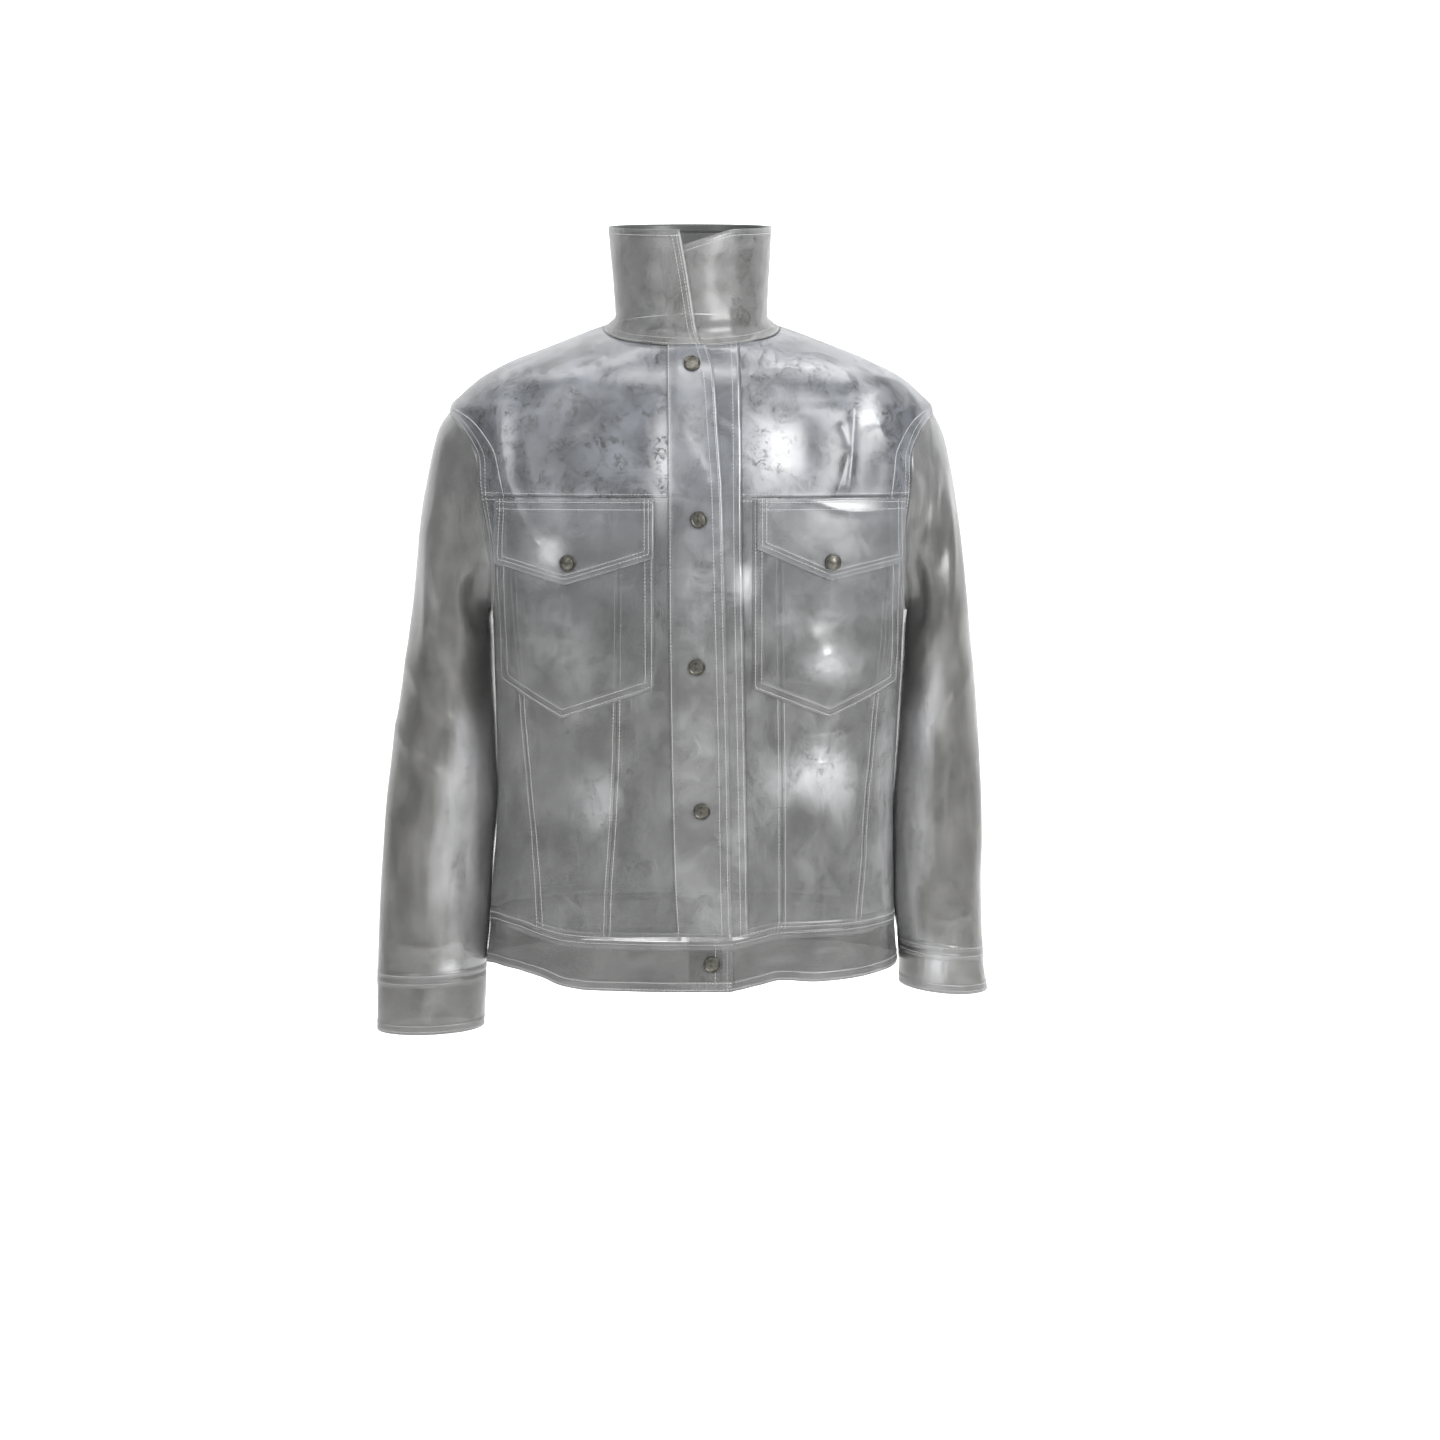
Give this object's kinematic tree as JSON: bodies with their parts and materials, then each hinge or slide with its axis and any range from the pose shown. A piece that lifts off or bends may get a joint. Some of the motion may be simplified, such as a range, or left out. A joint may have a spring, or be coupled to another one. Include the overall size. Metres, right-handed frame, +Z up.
{
  "type": "pvc jacket",
  "caption": "Hollow worn form of a translucent grey PVC trucker-style jacket with a turned-up collar, snap front, flapped chest pockets and cuffed sleeves.",
  "frame": {"origin": "on the centre line at the base of the neck, level with where a wearer's shoulders carry the jacket", "axes": "+Z up, +X towards the wearer's left, -Y towards the front where the snaps are"},
  "size_m": [0.6234, 0.261, 0.814],
  "materials": {
    "pvc_film": "translucent milky grey film, glossy, softly creased",
    "snap_metal": "dark gunmetal, semi-gloss",
    "thread": "pale polyester topstitching"
  },
  "bodies": {
    "root": {"collar": "pvc_film", "placket_top": "pvc_film", "placket_under": "pvc_film", "front_yoke_r": "pvc_film", "front_yoke_l": "pvc_film", "front_center_r": "pvc_film", "front_center_l": "pvc_film", "front_mid_r": "pvc_film", "front_mid_l": "pvc_film", "front_side_r": "pvc_film", "front_side_l": "pvc_film", "pocket_r": "pvc_film", "pocket_l": "pvc_film", "flap_r": "pvc_film", "flap_l": "pvc_film", "back": "pvc_film", "waistband": "pvc_film", "sleeve_r": "pvc_film", "sleeve_l": "pvc_film", "cuff_r": "pvc_film", "cuff_l": "pvc_film", "snap_cap_front_1": "snap_metal", "snap_cap_front_2": "snap_metal", "snap_cap_front_3": "snap_metal", "snap_cap_front_4": "snap_metal", "snap_cap_waist": "snap_metal", "snap_cap_flap_r": "snap_metal", "snap_cap_flap_l": "snap_metal", "snap_back_front_1": "snap_metal", "snap_back_front_2": "snap_metal", "snap_back_front_3": "snap_metal", "snap_back_front_4": "snap_metal", "snap_back_waist": "snap_metal", "snap_back_flap_r": "snap_metal", "snap_back_flap_l": "snap_metal"}
  },
  "joints": []
}
